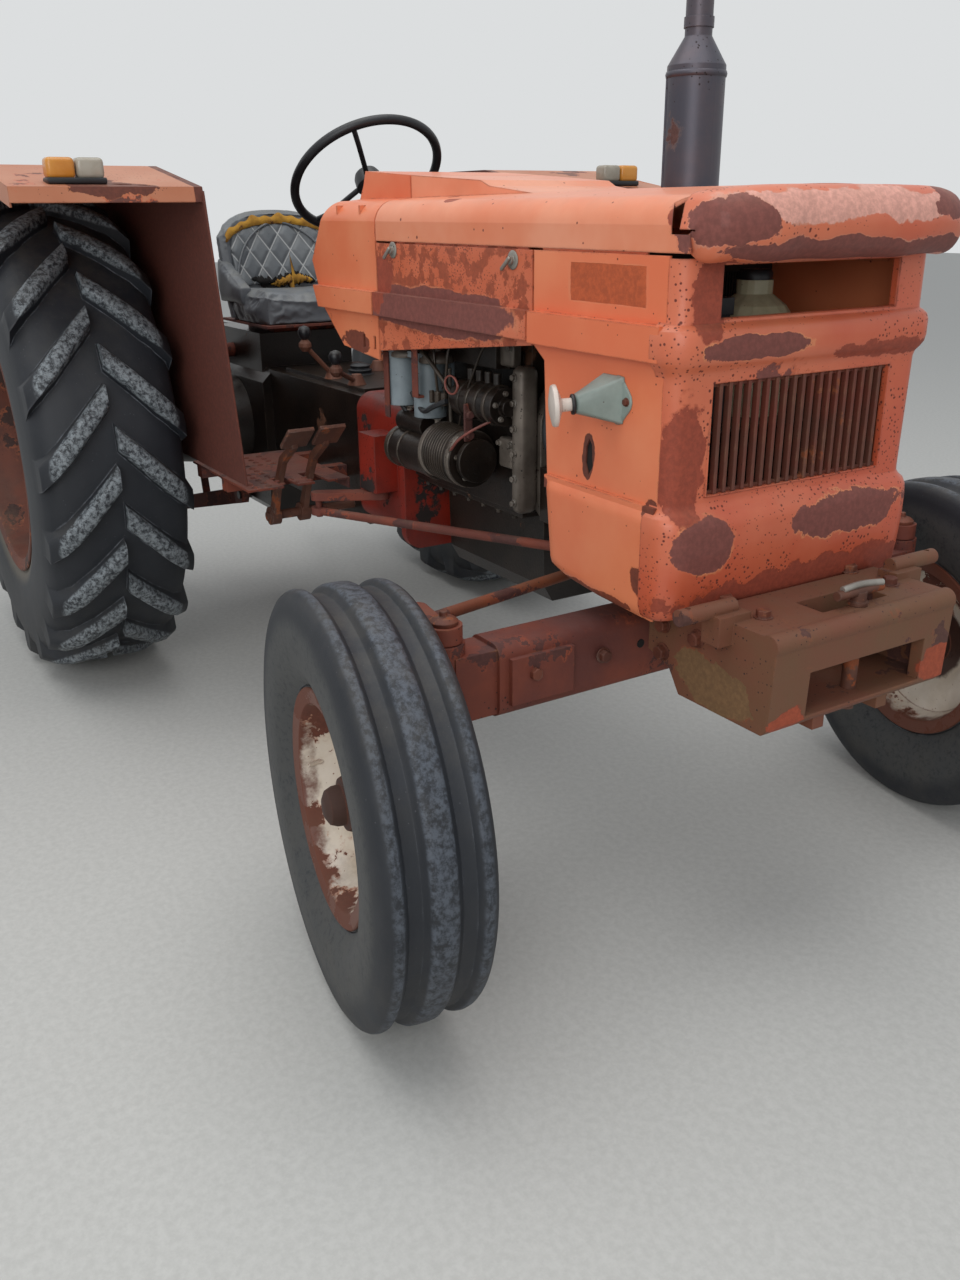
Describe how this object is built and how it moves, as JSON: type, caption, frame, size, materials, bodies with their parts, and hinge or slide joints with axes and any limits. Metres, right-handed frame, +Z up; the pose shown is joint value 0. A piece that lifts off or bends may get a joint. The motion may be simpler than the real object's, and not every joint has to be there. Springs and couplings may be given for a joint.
{
  "type": "farm tractor",
  "caption": "Two-wheel-drive farm tractor with ribbed front tyres, lugged rear tyres, open seat, bonnet stack, front tow frame and three-point hitch.",
  "frame": {"origin": "on the ground, midway along and across the tractor's footprint", "axes": "+X towards the front of the tractor, +Y to its left-hand side, +Z up"},
  "size_m": [3.4224, 2, 2.205],
  "materials": {
    "orange_paint": "faded, rust-flecked",
    "rusted_red_paint": "rusted",
    "oily_iron": "greasy",
    "red_casting": "worn",
    "bare_steel": "dull",
    "light_alloy": "dull",
    "fan_steel": "dull",
    "filter_paint": "dull",
    "radiator_metal": "dull",
    "black_plastic": "matt",
    "column_paint": "worn",
    "cream_plastic": "matt",
    "exhaust_steel": "rust-stained",
    "front_rim_paint": "rusted at the edge",
    "rear_rim_paint": "rusted",
    "tyre_rubber": "worn",
    "seat_vinyl": "worn",
    "lamp_plastic": "gloss"
  },
  "bodies": {
    "tractor": {"axle_beam": "rusted_red_paint", "axle_housings": "oily_iron", "battery": "black_plastic", "bonnet_top": "orange_paint", "clutch_housing": "red_casting", "coolant_tank": "cream_plastic", "drawbar": "rusted_red_paint", "engine": "oily_iron", "engine_accessories": "oily_iron", "exhaust_stack": "exhaust_steel", "fan_and_pulleys": "fan_steel", "fender_lamps": "lamp_plastic", "fenders": "orange_paint", "footplates": "rusted_red_paint", "front_support": "oily_iron", "front_weight_frame": "rusted_red_paint", "fuel_filters": "filter_paint", "grille": "bare_steel", "nose_mask": "orange_paint", "nose_sides": "orange_paint", "oil_sump": "oily_iron", "pedals_and_levers": "bare_steel", "radiator": "radiator_metal", "rear_cowl": "orange_paint", "seat_cushion": "seat_vinyl", "seat_frame": "rusted_red_paint", "side_lamps": "lamp_plastic", "side_panels": "orange_paint", "steering_column": "column_paint", "timing_case": "light_alloy", "tow_pin": "bare_steel", "transmission": "oily_iron"},
    "knuckle_right": {"knuckle_right": "rusted_red_paint"},
    "knuckle_left": {"knuckle_left": "rusted_red_paint"},
    "front_wheel_right": {"front_rim_right": "front_rim_paint", "front_tyre_right": "tyre_rubber"},
    "front_wheel_left": {"front_rim_left": "front_rim_paint", "front_tyre_left": "tyre_rubber"},
    "rear_wheel_right": {"rear_rim_right": "rear_rim_paint", "rear_tyre_right": "tyre_rubber"},
    "rear_wheel_left": {"rear_rim_left": "rear_rim_paint", "rear_tyre_left": "tyre_rubber"},
    "relay_lever": {"relay_lever": "rusted_red_paint"},
    "tie_rod_right": {"tie_rod_right": "rusted_red_paint"},
    "tie_rod_left": {"tie_rod_left": "rusted_red_paint"},
    "drag_link": {"drag_link": "rusted_red_paint"},
    "drop_arm": {"drop_arm": "rusted_red_paint"},
    "steering_wheel": {"steering_wheel": "black_plastic"},
    "lower_link_right": {"lower_link_right": "rusted_red_paint"},
    "lower_link_left": {"lower_link_left": "rusted_red_paint"},
    "lift_rod_right": {"lift_rod_right": "rusted_red_paint"},
    "lift_rod_left": {"lift_rod_left": "rusted_red_paint"},
    "lift_arms": {"lift_arms": "rusted_red_paint"}
  },
  "joints": [
    {"name": "steer_right", "type": "hinge", "parent": "tractor", "child": "knuckle_right", "pos_m": [1.28123, -0.617, 0.403], "axis": [0, 0, 1], "range_deg": [-33.4, 50.6]},
    {"name": "steer_left", "type": "hinge", "parent": "tractor", "child": "knuckle_left", "pos_m": [1.28123, 0.617, 0.403], "axis": [0, 0, 1], "range_deg": [-33.4, 50.6]},
    {"name": "front_spin_right", "type": "hinge", "parent": "knuckle_right", "child": "front_wheel_right", "pos_m": [1.2573, -0.7752, 0.403], "axis": [0.1495, 0.9888, 0], "continuous": true},
    {"name": "front_spin_left", "type": "hinge", "parent": "knuckle_left", "child": "front_wheel_left", "pos_m": [1.30515, 0.7752, 0.403], "axis": [0.1495, 0.9888, 0], "continuous": true},
    {"name": "rear_spin_right", "type": "hinge", "parent": "tractor", "child": "rear_wheel_right", "pos_m": [-0.87877, -0.7915, 0.729], "axis": [0, 1, 0], "continuous": true},
    {"name": "rear_spin_left", "type": "hinge", "parent": "tractor", "child": "rear_wheel_left", "pos_m": [-0.87877, 0.7915, 0.729], "axis": [0, 1, 0], "continuous": true},
    {"name": "relay_turn", "type": "hinge", "parent": "tractor", "child": "relay_lever", "pos_m": [1.15123, 0, 0.69], "axis": [0, 0, 1], "range_deg": [-33.4, 50.6]},
    {"name": "tie_rod_right_swing", "type": "hinge", "parent": "relay_lever", "child": "tie_rod_right", "pos_m": [1.0128, 0.02093, 0.69], "axis": [0, 0, 1], "range_deg": [-50.6, 33.4]},
    {"name": "tie_rod_left_swing", "type": "hinge", "parent": "relay_lever", "child": "tie_rod_left", "pos_m": [1.0128, 0.02093, 0.69], "axis": [0, 0, 1], "range_deg": [-50.6, 33.4]},
    {"name": "drag_link_swing", "type": "hinge", "parent": "relay_lever", "child": "drag_link", "pos_m": [1.06798, -0.14923, 0.69], "axis": [0, 0, 1], "range_deg": [-50.6, 33.4]},
    {"name": "drop_arm_turn", "type": "hinge", "parent": "tractor", "child": "drop_arm", "pos_m": [0.25423, -0.211, 0.682], "axis": [0, 0, 1], "range_deg": [-33.4, 50.6]},
    {"name": "hand_wheel_turn", "type": "hinge", "parent": "tractor", "child": "steering_wheel", "pos_m": [-0.17877, 0, 1.5], "axis": [-0.6428, 0, 0.766], "range_deg": [-501.5, 759.5]},
    {"name": "hitch_lift", "type": "hinge", "parent": "tractor", "child": "lower_link_right", "pos_m": [-0.83877, -0.209, 0.47], "axis": [0, 1, 0], "range_deg": [0, 45]},
    {"name": "hitch_lift_left", "type": "hinge", "parent": "tractor", "child": "lower_link_left", "pos_m": [-0.83877, 0.209, 0.47], "axis": [0, 1, 0], "range_deg": [0, 45]},
    {"name": "lift_arms_turn", "type": "hinge", "parent": "tractor", "child": "lift_arms", "pos_m": [-0.93877, 0, 0.96], "axis": [0, 1, 0], "range_deg": [0, 45]},
    {"name": "lift_rod_right_swing", "type": "hinge", "parent": "lower_link_right", "child": "lift_rod_right", "pos_m": [-1.12986, -0.246, 0.39742], "axis": [0, 1, 0], "range_deg": [-45, 0]},
    {"name": "lift_rod_left_swing", "type": "hinge", "parent": "lower_link_left", "child": "lift_rod_left", "pos_m": [-1.12986, 0.246, 0.39742], "axis": [0, 1, 0], "range_deg": [-45, 0]}
  ],
  "couplings": [
    {"joint": "steer_left", "follows": "steer_right", "ratio": 1},
    {"joint": "relay_turn", "follows": "steer_right", "ratio": 1},
    {"joint": "tie_rod_right_swing", "follows": "steer_right", "ratio": -1},
    {"joint": "tie_rod_left_swing", "follows": "steer_right", "ratio": -1},
    {"joint": "drag_link_swing", "follows": "steer_right", "ratio": -1},
    {"joint": "drop_arm_turn", "follows": "steer_right", "ratio": 1},
    {"joint": "hand_wheel_turn", "follows": "steer_right", "ratio": 15},
    {"joint": "hitch_lift_left", "follows": "hitch_lift", "ratio": 1},
    {"joint": "lift_arms_turn", "follows": "hitch_lift", "ratio": 1},
    {"joint": "lift_rod_right_swing", "follows": "hitch_lift", "ratio": -1},
    {"joint": "lift_rod_left_swing", "follows": "hitch_lift", "ratio": -1}
  ]
}
